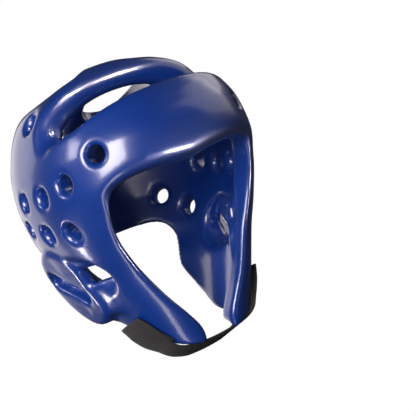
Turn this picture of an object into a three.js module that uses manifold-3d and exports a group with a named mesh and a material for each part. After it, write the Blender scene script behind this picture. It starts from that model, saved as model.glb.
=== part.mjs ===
// Moulded foam head guard for sparring: a hollow foam shell with vents, two raised ear pads,
// a chin strap and the patch of hook tape that it closes on.
// Millimetres, +Z up, the face towards -Y and the wearer's right ear towards -X.
// The origin is the middle of the head at the level of the brow.
import * as THREE from "three";
import { mergeVertices } from "three/addons/utils/BufferGeometryUtils.js";
import Module from "manifold-3d";

const wasm = await Module();
wasm.setup();

// Outer size of the foam, from the origin.
const headHalfWidth = 103;
const browReach = 128;
const napeReach = 111;
const crownHeight = 114;
const jawDrop = 155;

// Foam thickness on the sides, on the crown and at the back of the cheek bars.
const sideFoam = 19;
const crownFoam = 25;
const jawFoam = 27;

// Vent holes, funnel mouth and straight bore.
const ventBore = 15;
const ventMouth = 24;
const ventFunnelDepth = 6;

// Ear pads.
const earPadThickness = 13;
const earPadLength = 56;
const earPadHeight = 84;
const earArmDepth = 15;
const earHoleLength = 44;
const earHoleWidth = 20;

// Chin strap and hook tape.
const strapWidth = 38;
const strapThickness = 2.6;
const patchWidth = 22;
const patchThickness = 1.6;
const clearance = 0.3;

// Fineness of the meshes.
const aroundSteps = 52;
const downSteps = 22;
const ventSides = 12;

// A height share counts crownHeight above the brow and jawDrop below it.
const heightOf = (share) => share * (share > 0 ? crownHeight : jawDrop);

// Horizontal sections of the outside, from the chin up. Reaches are shares of the sizes above.
// square says how boxy the front half is: 2 is an ellipse.
const sections = [
  { height: -1.0, width: 0.43, front: 0.42, back: 0.5, square: 2.8 },
  { height: -0.84, width: 0.53, front: 0.47, back: 0.6, square: 2.9 },
  { height: -0.645, width: 0.635, front: 0.53, back: 0.7, square: 3.2 },
  { height: -0.45, width: 0.76, front: 0.56, back: 0.81, square: 3.4 },
  { height: -0.26, width: 0.89, front: 0.68, back: 0.9, square: 3.0 },
  { height: -0.065, width: 0.98, front: 0.85, back: 0.975, square: 2.6 },
  { height: 0.13, width: 1.0, front: 0.985, back: 1.0, square: 2.5 },
  { height: 0.345, width: 0.97, front: 1.0, back: 0.99, square: 2.5 },
  { height: 0.56, width: 0.89, front: 0.93, back: 0.91, square: 2.5 },
  { height: 0.76, width: 0.76, front: 0.77, back: 0.76, square: 2.4 },
  { height: 0.9, width: 0.525, front: 0.53, back: 0.54, square: 2.3 },
  { height: 0.975, width: 0.28, front: 0.27, back: 0.31, square: 2.2 },
  { height: 1.0, width: 0, front: 0, back: 0, square: 2.2 },
];

// A curve through the points that never overshoots them.
function smoothThrough(xs, ys) {
  const step = (i) => (ys[i + 1] - ys[i]) / (xs[i + 1] - xs[i]);
  const last = xs.length - 1;
  const slopes = xs.map((_, i) => {
    if (i === 0 || i === last) return step(Math.min(i, last - 1));
    const before = step(i - 1);
    const after = step(i);
    return before * after > 0 ? (2 * before * after) / (before + after) : 0;
  });
  return (x) => {
    if (x <= xs[0]) return ys[0];
    if (x >= xs[last]) return ys[last];
    const i = xs.findIndex((edge) => edge > x) - 1;
    const span = xs[i + 1] - xs[i];
    const t = (x - xs[i]) / span;
    const rise = t * t * (3 - 2 * t);
    return (
      ys[i] * (1 - rise) +
      ys[i + 1] * rise +
      span * t * (1 - t) * (slopes[i] * (1 - t) - slopes[i + 1] * t)
    );
  };
}

const heights = sections.map((row) => heightOf(row.height));
const squaredReach = (column, size) =>
  smoothThrough(heights, sections.map((row) => (row[column] * size) ** 2));
const widthSquared = squaredReach("width", headHalfWidth);
const frontSquared = squaredReach("front", browReach);
const backSquared = squaredReach("back", napeReach);
const squareness = smoothThrough(heights, sections.map((row) => row.square));

// Point of the outside at a height and at an angle about +Z: 0 is the left ear, -90 degrees the brow.
function outside(height, angle) {
  const cos = Math.cos(angle);
  const sin = Math.sin(angle);
  const power = sin < 0 ? squareness(height) : 2;
  const reach = Math.sqrt(sin < 0 ? frontSquared(height) : backSquared(height));
  const scale = (Math.abs(cos) ** power + Math.abs(sin) ** power) ** (-1 / power);
  return new THREE.Vector3(Math.sqrt(widthSquared(height)) * cos * scale, reach * sin * scale, height);
}

function outwardNormal(height, angle) {
  const turn = 0.01;
  const rise = 0.4;
  const around = outside(height, angle + turn).sub(outside(height, angle - turn));
  const top = Math.min(height + rise, crownHeight);
  const up = outside(top, angle).sub(outside(top - 2 * rise, angle));
  return around.cross(up).normalize();
}

// Foam thickness, which grows towards the crown and towards the corner of the jaw.
function foamAt(height, angle) {
  const crown = THREE.MathUtils.smoothstep(height, 0, crownHeight);
  const jaw =
    THREE.MathUtils.smoothstep(-height, 0.4 * jawDrop, 0.65 * jawDrop) *
    THREE.MathUtils.smoothstep(Math.sin(angle), -0.75, -0.1);
  return sideFoam + (crownFoam - sideFoam) * crown + (jawFoam - sideFoam) * jaw;
}

// Closed mesh through rings of points, each end closed round its own middle point.
function loft(rings, firstTip, lastTip) {
  const middle = (ring) =>
    ring.reduce((sum, p) => sum.add(p), new THREE.Vector3()).divideScalar(ring.length);
  const points = [firstTip ?? middle(rings[0]), ...rings.flat(), lastTip ?? middle(rings.at(-1))];
  const count = rings[0].length;
  const last = points.length - 1;
  const faces = [];
  for (let i = 0; i < count; i += 1) {
    const next = (i + 1) % count;
    faces.push([0, 1 + next, 1 + i]);
    for (let row = 0; row + 1 < rings.length; row += 1) {
      const a = 1 + row * count + i;
      const b = 1 + row * count + next;
      faces.push([a, b, b + count], [a, b + count, a + count]);
    }
    faces.push([last, last - count + i, last - count + next]);
  }
  return solidOf(points, faces);
}

function signedVolume(points, faces) {
  return faces.reduce((sum, [a, b, c]) => {
    const cross = new THREE.Vector3().crossVectors(points[b], points[c]);
    return sum + points[a].dot(cross) / 6;
  }, 0);
}

function solidOf(points, faces) {
  const outward = signedVolume(points, faces) > 0;
  const order = faces.flatMap(([a, b, c]) => (outward ? [a, b, c] : [a, c, b]));
  const geometry = new THREE.BufferGeometry();
  const flat = points.flatMap((p) => [p.x, p.y, p.z]);
  geometry.setAttribute("position", new THREE.Float32BufferAttribute(flat, 3));
  geometry.setIndex(order);
  const merged = mergeVertices(geometry, 1e-4);
  return new wasm.Manifold(
    new wasm.Mesh({
      numProp: 3,
      vertProperties: new Float32Array(merged.attributes.position.array),
      triVerts: new Uint32Array(merged.index.array),
    }),
  );
}

// The whole dome without its openings, its surface moved outward by a function of height and angle.
function dome(offset, bottom) {
  const rings = [];
  for (let row = 1; row <= downSteps; row += 1) {
    const share = (row / downSteps) ** 1.6;
    const height = crownHeight + (bottom - crownHeight) * share;
    rings.push(
      Array.from({ length: aroundSteps }, (_, i) => {
        const angle = (i / aroundSteps) * 2 * Math.PI;
        return outside(height, angle).addScaledVector(outwardNormal(height, angle), offset(height, angle));
      }),
    );
  }
  return loft(rings, new THREE.Vector3(0, 0, crownHeight + offset(crownHeight, 0)));
}

// A cutter that runs along X through both sides, with its outline as points of (y, z).
function sidewaysCutter(outline, from, to) {
  const ringAt = (x) => outline.map((p) => new THREE.Vector3(x, p.x, p.y));
  return loft([ringAt(from), ringAt(to)]);
}

// Smooth closed outline through a few points.
function smoothOutline(points, steps, closed = true) {
  const curve = new THREE.CatmullRomCurve3(
    points.map((p) => new THREE.Vector3(p.x, p.y, 0)),
    closed,
    "centripetal",
  );
  const samples = curve.getPoints(steps);
  if (closed) samples.pop();
  return samples.map((p) => new THREE.Vector2(p.x, p.y));
}

// Right half of the face opening, from the point of the brow down to the chin.
// across is a share of headHalfWidth, height as in the sections.
const faceEdge = [
  { across: 0, height: 0.055 },
  { across: 0.09, height: 0.08 },
  { across: 0.27, height: 0.1 },
  { across: 0.46, height: 0.095 },
  { across: 0.575, height: 0.05 },
  { across: 0.625, height: -0.05 },
  { across: 0.615, height: -0.21 },
  { across: 0.555, height: -0.34 },
  { across: 0.455, height: -0.49 },
  { across: 0.35, height: -0.625 },
  { across: 0.235, height: -0.745 },
  { across: 0.15, height: -0.845 },
  { across: 0.13, height: -0.93 },
  { across: 0.13, height: -1.15 },
];

// The face opening widens sideways towards the front, which slants the cut face of the cheek bars.
const faceFlare = [
  { front: 1.6, widen: 1.13 },
  { front: 0.75, widen: 1.13 },
  { front: 0.6, widen: 1.07 },
  { front: 0.46, widen: 1.0 },
  { front: 0.1, widen: 1.0 },
];

function faceCutter() {
  const half = faceEdge.map((row) => new THREE.Vector2(row.across * headHalfWidth, heightOf(row.height)));
  const smooth = smoothOutline(half, 30, false);
  const mirrored = smooth.slice(1).reverse().map((p) => new THREE.Vector2(-p.x, p.y));
  const outline = [...smooth, ...mirrored];
  return loft(
    faceFlare.map((row) =>
      outline.map((p) => new THREE.Vector3(p.x * row.widen, -row.front * browReach, p.y)),
    ),
  );
}

// Lower edge of the shell from the side, from the chin back to the nape. back is a share of
// napeReach, and of browReach in front of the origin. outer is the height of the edge on the
// outside of the foam and inner on the inside, which hangs lower at the jaw.
const lowerEdge = [
  { back: -0.75, outer: -0.96, inner: -0.96 },
  { back: -0.5, outer: -0.95, inner: -0.95 },
  { back: -0.42, outer: -0.925, inner: -0.93 },
  { back: -0.365, outer: -0.86, inner: -0.9 },
  { back: -0.27, outer: -0.78, inner: -0.87 },
  { back: -0.14, outer: -0.7, inner: -0.85 },
  { back: 0.0, outer: -0.655, inner: -0.79 },
  { back: 0.15, outer: -0.645, inner: -0.7 },
  { back: 0.3, outer: -0.56, inner: -0.58 },
  { back: 0.4, outer: -0.44, inner: -0.46 },
  { back: 0.5, outer: -0.33, inner: -0.33 },
  { back: 0.64, outer: -0.26, inner: -0.26 },
  { back: 1.3, outer: -0.24, inner: -0.24 },
];
const jawOuterAcross = 0.66;
const jawInnerAcross = 0.32;

const depthOf = (share) => share * (share < 0 ? browReach : napeReach);

function lowerCutter() {
  const floor = -1.3 * jawDrop;
  const outlineOf = (column) => {
    const edge = lowerEdge.map((row) => new THREE.Vector2(depthOf(row.back), heightOf(row[column])));
    const below = [new THREE.Vector2(depthOf(1.3), floor), new THREE.Vector2(depthOf(-0.75), floor)];
    return [...smoothOutline(edge, 26, false), ...below];
  };
  const outer = outlineOf("outer");
  const inner = outlineOf("inner");
  const stops = [
    { across: 1.3, outline: outer },
    { across: jawOuterAcross, outline: outer },
    { across: jawInnerAcross, outline: inner },
  ];
  const mirrored = [...stops].reverse().map((row) => ({ ...row, across: -row.across }));
  return loft(
    [...stops, ...mirrored].map(({ across, outline }) =>
      outline.map((p) => new THREE.Vector3(across * headHalfWidth, p.x, p.y)),
    ),
  );
}

// Crescent between the forehead band and the crown, from the side, apex at the temple.
const crownSlot = [
  { back: -0.35, height: 0.56 },
  { back: -0.46, height: 0.525 },
  { back: -0.56, height: 0.545 },
  { back: -0.67, height: 0.575 },
  { back: -0.78, height: 0.635 },
  { back: -0.9, height: 0.7 },
  { back: -1.2, height: 0.85 },
  { back: -1.2, height: 1.15 },
  { back: -0.24, height: 1.15 },
  { back: -0.3, height: 0.97 },
  { back: -0.345, height: 0.86 },
  { back: -0.335, height: 0.75 },
  { back: -0.32, height: 0.65 },
];

function slotCutter() {
  const outline = crownSlot.map((row) => new THREE.Vector2(depthOf(row.back), heightOf(row.height)));
  return sidewaysCutter(smoothOutline(outline, 34), -1.2 * headHalfWidth, 1.2 * headHalfWidth);
}

// The two openings behind the crown arch, on either side of the bar along the middle.
// A cone from inside the head cuts them square to the foam.
const rearOpening = { across: 0.365, back: 0.33, halfWidth: 0.29, halfLength: 0.56, square: 2.4 };
const coneApexHeight = -0.1;
const coneReference = 0.93;

function rearOpeningCutter(side) {
  const apex = new THREE.Vector3(0, 0.05 * napeReach, heightOf(coneApexHeight));
  const level = heightOf(coneReference);
  const outline = Array.from({ length: 28 }, (_, i) => {
    const angle = (i / 28) * 2 * Math.PI;
    const power = 2 / rearOpening.square;
    const round = (value) => Math.sign(value) * Math.abs(value) ** power;
    const across = side * rearOpening.across + rearOpening.halfWidth * round(Math.cos(angle));
    const back = rearOpening.back + rearOpening.halfLength * round(Math.sin(angle));
    return new THREE.Vector3(across * headHalfWidth, back * napeReach, level);
  });
  const ringAt = (scale) => outline.map((p) => p.clone().sub(apex).multiplyScalar(scale).add(apex));
  return loft([ringAt(0.6), ringAt(1.35)]);
}

// Vent holes of one side. angle is in degrees back from the ear line, and negative towards the brow.
const vents = [
  { angle: -47, height: 0.35 },
  { angle: -30, height: 0.225 },
  { angle: -14.5, height: 0.19 },
  { angle: 3, height: 0.2 },
  { angle: -26.5, height: -0.095 },
  { angle: -7.5, height: -0.065 },
  { angle: 11, height: -0.01 },
  { angle: -9, height: 0.745 },
  { angle: 27, height: -0.28 },
  { angle: 46, height: -0.155 },
];

function ventCutter(vent, side) {
  const height = heightOf(vent.height);
  const back = THREE.MathUtils.degToRad(vent.angle);
  const angle = side > 0 ? back : Math.PI - back;
  const mouth = outside(height, angle);
  const axis = outwardNormal(height, angle);
  const turn = new THREE.Quaternion().setFromUnitVectors(new THREE.Vector3(0, 0, 1), axis);
  const profile = [
    { out: 4, radius: 0.62 * ventMouth },
    { out: 0, radius: 0.5 * ventMouth },
    { out: -0.4 * ventFunnelDepth, radius: 0.5 * ventBore + 0.3 * (ventMouth - ventBore) / 2 },
    { out: -ventFunnelDepth, radius: 0.5 * ventBore },
    { out: -1.5 * sideFoam, radius: 0.5 * ventBore },
  ];
  return loft(
    profile.map(({ out, radius }) =>
      Array.from({ length: ventSides }, (_, i) => {
        const a = (i / ventSides) * 2 * Math.PI;
        const local = new THREE.Vector3(radius * Math.cos(a), radius * Math.sin(a), out);
        return local.applyQuaternion(turn).add(mouth);
      }),
    ),
  );
}

// The window in the shell behind each ear pad.
const earWindow = { back: -0.13, height: -0.37, halfLength: 0.27, halfHeight: 0.13 };

function earWindowCutter(side) {
  const outline = Array.from({ length: 24 }, (_, i) => {
    const a = (i / 24) * 2 * Math.PI;
    return new THREE.Vector2(
      depthOf(earWindow.back) + earWindow.halfLength * napeReach * Math.cos(a),
      heightOf(earWindow.height) + earWindow.halfHeight * jawDrop * Math.sin(a),
    );
  });
  return sidewaysCutter(outline, side * 0.4 * headHalfWidth, side * 1.2 * headHalfWidth);
}

const outerForm = dome(() => 0, -jawDrop);
const keepClearForm = dome(() => clearance, -jawDrop);
const headHollow = dome((height, angle) => -foamAt(height, angle), -1.08 * jawDrop);

function makeShell() {
  let solid = outerForm.subtract(headHollow);
  const cutters = [faceCutter(), lowerCutter(), slotCutter()];
  for (const side of [-1, 1]) {
    cutters.push(rearOpeningCutter(side), earWindowCutter(side));
    vents.forEach((vent) => cutters.push(ventCutter(vent, side)));
  }
  cutters.forEach((cutter) => {
    solid = solid.subtract(cutter);
  });
  return solid;
}

// Outline of the ear pad from the side: back and up are shares of its length and height,
// measured from its middle.
const earPadOutline = [
  { back: 0.02, up: 0.5 },
  { back: 0.32, up: 0.42 },
  { back: 0.48, up: 0.2 },
  { back: 0.47, up: -0.08 },
  { back: 0.32, up: -0.33 },
  { back: 0.03, up: -0.49 },
  { back: -0.3, up: -0.47 },
  { back: -0.5, up: -0.28 },
  { back: -0.44, up: -0.04 },
  { back: -0.46, up: 0.2 },
  { back: -0.35, up: 0.4 },
];
const earPadMiddle = { back: 0.09, height: -0.4 };

// Outer face of the pad at its front and at its back edge, half way up, and how much the face
// leans in towards the neck for each millimetre down.
const earPadFront = 0.83 * headHalfWidth;
const earPadBack = 0.895 * headHalfWidth;
const earPadLean = 0.3;

// Edge rounding of a padded plate: how far its rim is drawn in at each level of its thickness.
const padRounding = [
  { level: -0.5, inset: 0.28 },
  { level: -0.32, inset: 0.08 },
  { level: 0, inset: 0 },
  { level: 0.32, inset: 0.08 },
  { level: 0.5, inset: 0.28 },
];

function earPadPoint(side, back, up, out) {
  const y = depthOf(earPadMiddle.back) + back * earPadLength;
  const z = earPadMiddle.height * jawDrop + up * earPadHeight;
  const face = earPadFront + (earPadBack - earPadFront) * (back + 0.5) + earPadLean * up * earPadHeight;
  return new THREE.Vector3(side * (face + out), y, z);
}

function earPadPlate(side) {
  const outline = smoothOutline(earPadOutline.map((p) => new THREE.Vector2(p.back, p.up)), 32);
  return loft(
    padRounding.map(({ level, inset }) => {
      const scale = 1 - (2 * inset * earPadThickness) / earPadLength;
      const out = earPadThickness * (level - 0.5);
      return outline.map((p) => earPadPoint(side, p.x * scale, p.y * scale, out));
    }),
  );
}

// Dumb-bell hole: a slot with two round ends joined by a narrower neck, leaning forward downwards.
const earHoleLean = THREE.MathUtils.degToRad(38);
const earHoleNeck = 0.62;

function earHoleCutter(side) {
  const steps = 24;
  const outline = Array.from({ length: steps }, (_, i) => {
    const a = (i / steps) * 2 * Math.PI;
    const along = 0.5 * earHoleLength * Math.cos(a);
    const waist = earHoleNeck + (1 - earHoleNeck) * Math.cos(a) ** 2;
    const across = 0.5 * earHoleWidth * waist * Math.sign(Math.sin(a)) * Math.abs(Math.sin(a)) ** 0.5;
    return new THREE.Vector2(along, across).rotateAround(new THREE.Vector2(), earHoleLean);
  });
  const ringAt = (out) =>
    outline.map((p) => earPadPoint(side, p.x / earPadLength + 0.03, p.y / earPadHeight, out));
  return loft([ringAt(-3 * earPadThickness), ringAt(earPadThickness)]);
}

// Two arms carry the pad from the cheek. up is the place and tall the height of each, as shares of
// the pad's height. reach says how far in front of the middle of the pad a section lies.
const earArms = [
  { up: 0.28, tall: 0.22 },
  { up: -0.2, tall: 0.38 },
];
const armSections = [
  { reach: 0.1, sink: 0.5, grow: 0.85 },
  { reach: 0.4, sink: 0.55, grow: 1.0 },
  { reach: 0.7, sink: 1.0, grow: 1.05 },
  { reach: 1.05, sink: 2.0, grow: 1.1 },
];

function earArm(side, arm) {
  return loft(
    armSections.map(({ reach, sink, grow }) =>
      Array.from({ length: 12 }, (_, i) => {
        const a = (i / 12) * 2 * Math.PI;
        const round = (value) => Math.sign(value) * Math.abs(value) ** 0.7;
        const up = arm.up + 0.5 * grow * arm.tall * round(Math.sin(a));
        const out = -sink * earPadThickness + 0.5 * grow * earArmDepth * round(Math.cos(a));
        return earPadPoint(side, -reach, up, Math.min(out, -1));
      }),
    ),
  );
}

function makeEarPad(side) {
  let solid = earPadPlate(side);
  earArms.forEach((arm) => {
    solid = solid.add(earArm(side, arm));
  });
  return solid.subtract(earHoleCutter(side)).subtract(keepClearForm);
}

// Front edge of the strap, from its free end at the right cheek, under the chin, to its sewn end
// on the left. across, back and height are shares as above. The strap runs back from this edge:
// dip is how far it falls and toe how far it turns to the middle for each millimetre back.
// frontHug and rearHug say how fully each edge is held clear of the cheek.
const strapStations = [
  { across: -0.62, back: -0.29, height: -0.67, toe: 0, dip: 0.25, frontHug: 1, rearHug: 1 },
  { across: -0.57, back: -0.32, height: -0.72, toe: 0, dip: 0.27, frontHug: 1, rearHug: 1 },
  { across: -0.5, back: -0.34, height: -0.79, toe: 0, dip: 0.28, frontHug: 1, rearHug: 0.55 },
  { across: -0.41, back: -0.355, height: -0.86, toe: 0.02, dip: 0.29, frontHug: 1, rearHug: 0 },
  { across: -0.3, back: -0.355, height: -0.915, toe: 0.02, dip: 0.3, frontHug: 0.35, rearHug: 0 },
  { across: -0.15, back: -0.345, height: -0.94, toe: 0, dip: 0.32, frontHug: 0, rearHug: 0 },
  { across: 0, back: -0.34, height: -0.945, toe: 0, dip: 0.32, frontHug: 0, rearHug: 0 },
  { across: 0.15, back: -0.345, height: -0.94, toe: 0, dip: 0.32, frontHug: 0, rearHug: 0 },
  { across: 0.3, back: -0.355, height: -0.915, toe: 0, dip: 0.3, frontHug: 0.35, rearHug: 0 },
  { across: 0.42, back: -0.36, height: -0.86, toe: 0, dip: 0.28, frontHug: 1, rearHug: 0 },
  { across: 0.52, back: -0.34, height: -0.78, toe: 0, dip: 0.2, frontHug: 1, rearHug: 0.7 },
  { across: 0.58, back: -0.32, height: -0.72, toe: 0, dip: 0.15, frontHug: 1, rearHug: 1 },
  { across: 0.62, back: -0.3, height: -0.67, toe: 0, dip: 0.12, frontHug: 1, rearHug: 1 },
];
const patchAhead = 6;

function denser(rows, steps) {
  const columns = Object.keys(rows[0]);
  const index = rows.map((_, i) => i);
  const curves = columns.map((name) => smoothThrough(index, rows.map((row) => row[name])));
  return Array.from({ length: steps + 1 }, (_, i) => {
    const at = (i / steps) * (rows.length - 1);
    return Object.fromEntries(columns.map((name, k) => [name, curves[k](at)]));
  });
}

// Moves a point out along X until it lies standOff away from the outside of the foam.
function clearOfForm(point, standOff) {
  const power = point.y < 0 ? squareness(point.z) : 2;
  const reach = Math.sqrt(point.y < 0 ? frontSquared(point.z) : backSquared(point.z));
  const width = Math.sqrt(widthSquared(point.z));
  const left = 1 - (Math.abs(point.y) / reach) ** power;
  if (left <= 0) return point;
  const surface = width * left ** (1 / power);
  const angle = Math.atan2(point.y / reach, surface / width);
  const normal = outwardNormal(point.z, angle);
  const needed = surface + standOff / normal.x;
  return new THREE.Vector3(Math.sign(point.x) * Math.max(Math.abs(point.x), needed), point.y, point.z);
}

// Band behind a row of stations. ahead moves its front edge forward. Each cross section is
// bent once, so that the band can follow the round of the cheek.
const bandPoints = [0, 0.5, 1];

function band(rows, { ahead, width, standOff, thickness }) {
  const lines = rows.map((row) => {
    const front = new THREE.Vector3(
      row.across * headHalfWidth,
      depthOf(row.back),
      heightOf(row.height),
    );
    const direction = new THREE.Vector3(-Math.sign(row.across) * row.toe, 1, -row.dip).normalize();
    return bandPoints.map((share) => {
      const point = front.clone().addScaledVector(direction, share * width - ahead);
      const hug = THREE.MathUtils.lerp(row.frontHug, row.rearHug, share);
      return point.clone().lerp(clearOfForm(point, standOff), hug);
    });
  });
  const edge = lines.map((line) => line[0]);
  return loft(
    lines.map((line, i) => {
      const along = edge[Math.min(i + 1, edge.length - 1)].clone().sub(edge[Math.max(i - 1, 0)]);
      const upper = line.map((point, k) => {
        const across = line[Math.min(k + 1, 2)].clone().sub(line[Math.max(k - 1, 0)]);
        return point.clone().addScaledVector(across.cross(along).normalize(), thickness / 2);
      });
      const lower = line.map((point, k) => point.clone().multiplyScalar(2).sub(upper[k]));
      return [...upper, ...lower.reverse()];
    }),
  );
}

const strapStandOff = 3 * clearance + patchThickness + strapThickness / 2;

function strapBand(thickness) {
  return band(denser(strapStations, 30), {
    ahead: 0,
    width: strapWidth,
    standOff: strapStandOff,
    thickness,
  });
}

function makeStrap() {
  return strapBand(strapThickness);
}

function makePatch() {
  return band(denser(strapStations.slice(0, 4), 6), {
    ahead: patchAhead,
    width: patchWidth,
    standOff: clearance + patchThickness / 2,
    thickness: patchThickness,
  })
    .subtract(keepClearForm)
    .subtract(strapBand(strapThickness + 2 * clearance));
}

function nodeOf(name, solid, look) {
  const mesh = solid.getMesh();
  const geometry = new THREE.BufferGeometry();
  geometry.setAttribute("position", new THREE.BufferAttribute(mesh.vertProperties, 3));
  geometry.setIndex(new THREE.BufferAttribute(mesh.triVerts, 1));
  geometry.computeVertexNormals();
  const node = new THREE.Mesh(geometry, new THREE.MeshStandardMaterial(look));
  node.name = name;
  return node;
}

const dippedFoam = { color: "#163377", roughness: 0.3, metalness: 0 };
const webbing = { color: "#22211f", roughness: 0.85, metalness: 0 };
const hookTape = { color: "#2b2521", roughness: 0.9, metalness: 0 };

const guard = new THREE.Group();
guard.add(nodeOf("shell", makeShell(), dippedFoam));
guard.add(nodeOf("ear_pad_right", makeEarPad(-1), dippedFoam));
guard.add(nodeOf("ear_pad_left", makeEarPad(1), dippedFoam));
guard.add(nodeOf("chin_strap", makeStrap(), webbing));
guard.add(nodeOf("hook_patch", makePatch(), hookTape));

export default guard;
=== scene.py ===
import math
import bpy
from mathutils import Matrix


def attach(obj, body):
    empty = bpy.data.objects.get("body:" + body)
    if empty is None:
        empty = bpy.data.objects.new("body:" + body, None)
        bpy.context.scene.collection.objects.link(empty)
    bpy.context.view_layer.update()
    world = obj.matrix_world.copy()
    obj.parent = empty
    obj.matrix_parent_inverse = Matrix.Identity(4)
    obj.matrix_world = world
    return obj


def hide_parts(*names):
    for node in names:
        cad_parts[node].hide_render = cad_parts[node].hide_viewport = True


bl_info = {
    "name": "Dipped Foam Head Guard",
    "version": (1, 0, 0),
    "blender": (4, 5, 0),
    "location": "View3D > Sidebar > Head Guard",
    "description": "Builds the look of a dipped foam head guard around its CAD frame",
    "category": "Object",
}

import bpy
import numpy as np
import openvdb
from bpy.props import FloatProperty, FloatVectorProperty, PointerProperty
from mathutils import Matrix, Vector

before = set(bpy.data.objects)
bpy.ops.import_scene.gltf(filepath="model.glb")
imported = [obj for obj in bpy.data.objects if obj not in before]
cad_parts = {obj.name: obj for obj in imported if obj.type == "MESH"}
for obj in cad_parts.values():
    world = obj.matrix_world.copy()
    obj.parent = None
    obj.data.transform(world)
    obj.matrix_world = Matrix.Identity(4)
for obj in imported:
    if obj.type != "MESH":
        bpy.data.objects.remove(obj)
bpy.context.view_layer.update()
MM = 0.001


def linear(colour):
    """Linear RGBA of an sRGB hex colour."""
    parts = [int(colour[i : i + 2], 16) / 255 for i in (1, 3, 5)]
    return [p / 12.92 if p <= 0.04045 else ((p + 0.055) / 1.055) ** 2.4 for p in parts] + [1.0]


# Sizes in millimetres, as the CAD part has them
HALF_WIDTH = 103
BROW_REACH = 128
NAPE_REACH = 111
CROWN_HEIGHT = 114
JAW_DROP = 155
SIDE_FOAM = 19
CROWN_FOAM = 25
JAW_FOAM = 27
VENT_BORE = 15
PAD_THICKNESS = 13
PAD_LENGTH = 56
PAD_HEIGHT = 84
ARM_DEPTH = 15
HOLE_LENGTH = 44
HOLE_WIDTH = 20
STRAP_WIDTH = 38
STRAP_THICKNESS = 2.6
PATCH_WIDTH = 22
PATCH_THICKNESS = 1.6
CLEARANCE = 0.3

# Horizontal sections of the outside from the chin up, as shares of the sizes above: height,
# half width, front reach, back reach. The last value is how boxy the front is: 2 is an ellipse.
SECTIONS = np.array([
    (-1.0, 0.43, 0.42, 0.5, 2.8),
    (-0.84, 0.53, 0.47, 0.6, 2.9),
    (-0.645, 0.635, 0.53, 0.7, 3.2),
    (-0.45, 0.76, 0.56, 0.81, 3.4),
    (-0.26, 0.89, 0.68, 0.9, 3.0),
    (-0.065, 0.98, 0.85, 0.975, 2.6),
    (0.13, 1.0, 0.985, 1.0, 2.5),
    (0.345, 0.97, 1.0, 0.99, 2.5),
    (0.56, 0.89, 0.93, 0.91, 2.5),
    (0.76, 0.76, 0.77, 0.76, 2.4),
    (0.9, 0.525, 0.53, 0.54, 2.3),
    (0.975, 0.28, 0.27, 0.31, 2.2),
    (1.0, 0.0, 0.0, 0.0, 2.2),
])

# Right half of the face opening from the middle of the brow down: across, height. The middle of
# the brow is 1.7 mm higher than in the CAD, to fit the rolled lip in the photograph.
FACE_EDGE = [
    (0, 0.07), (0.09, 0.08), (0.27, 0.1), (0.46, 0.095), (0.575, 0.05), (0.625, -0.05),
    (0.615, -0.21), (0.555, -0.34), (0.455, -0.49), (0.35, -0.625), (0.235, -0.745),
    (0.15, -0.845), (0.13, -0.93), (0.13, -1.15),
]
# Widening of the face opening towards the front: reach to the front, widening
FACE_FLARE = [(1.6, 1.13), (0.75, 1.13), (0.6, 1.07), (0.46, 1.0), (0.1, 1.0)]

# Lower edge from the chin back to the nape: back, height outside the foam, height inside it. The
# tips of the cheek bars are 1.5 mm lower than in the CAD, so that they meet the strap.
LOWER_EDGE = [
    (-0.75, -0.97, -0.97), (-0.5, -0.96, -0.96), (-0.42, -0.935, -0.94), (-0.365, -0.86, -0.9),
    (-0.27, -0.78, -0.87), (-0.14, -0.7, -0.85), (0.0, -0.655, -0.79), (0.15, -0.645, -0.7),
    (0.3, -0.56, -0.58), (0.4, -0.44, -0.46), (0.5, -0.33, -0.33), (0.64, -0.26, -0.26),
    (1.3, -0.24, -0.24),
]
JAW_OUTER_ACROSS = 0.66
JAW_INNER_ACROSS = 0.32
LOWER_FLOOR = -1.3
HOLLOW_BOTTOM = -1.08

# Slot between the brow band and the crown, from the side: back, height
CROWN_SLOT = [
    (-0.35, 0.56), (-0.46, 0.525), (-0.56, 0.545), (-0.67, 0.575), (-0.78, 0.635), (-0.9, 0.7),
    (-1.2, 0.85), (-1.2, 1.15), (-0.24, 1.15), (-0.3, 0.97), (-0.345, 0.86), (-0.335, 0.75),
    (-0.32, 0.65),
]

# The two openings behind the crown: rounded oblongs at one level, cut along a cone from its tip
REAR_LEVEL = 0.93
REAR_MIDDLE = (0.365, 0.33)
REAR_HALF_SIZE = (0.29, 0.56)
REAR_SQUARENESS = 2.4
REAR_CONE_TIP = (0.05, -0.1)
REAR_CONE_RUN = (0.6, 1.35)

# The window behind each ear pad: back, height, half length, half height
EAR_WINDOW = (-0.13, -0.37, 0.27, 0.13)
EAR_WINDOW_ACROSS = (0.4, 1.2)

# Vents of one side: degrees back from the ear line, height
VENTS = [
    (-47, 0.35), (-30, 0.225), (-14.5, 0.19), (3, 0.2), (-26.5, -0.095), (-7.5, -0.065),
    (11, -0.01), (-9, 0.745), (27, -0.28), (46, -0.155),
]
VENT_HALF_DEPTH = 1.9 * SIDE_FOAM
VENT_BOX = 2.2 * SIDE_FOAM

# Outline of the ear pad from the side, as shares of its length and height
PAD_OUTLINE = [
    (0.02, 0.5), (0.32, 0.42), (0.48, 0.2), (0.47, -0.08), (0.32, -0.33), (0.03, -0.49),
    (-0.3, -0.47), (-0.5, -0.28), (-0.44, -0.04), (-0.46, 0.2), (-0.35, 0.4),
]
PAD_MIDDLE = (0.09, -0.4)
PAD_FRONT = 0.83
PAD_BACK = 0.895
PAD_LEAN = 0.3
HOLE_LEAN = math.radians(38)
HOLE_NECK = 0.62
HOLE_BACK = 0.03

# The two arms of an ear pad: height of the middle and height, as shares of the pad's height
PAD_ARMS = [(0.28, 0.22), (-0.2, 0.38)]
# Rings along an arm: reach in front of the pad's middle, depth below its face, growth
ARM_RINGS = [(0.1, 0.5, 0.85), (0.4, 0.55, 1.0), (0.7, 1.0, 1.05), (1.05, 2.0, 1.1)]
ARM_SQUARENESS = 0.7

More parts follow.
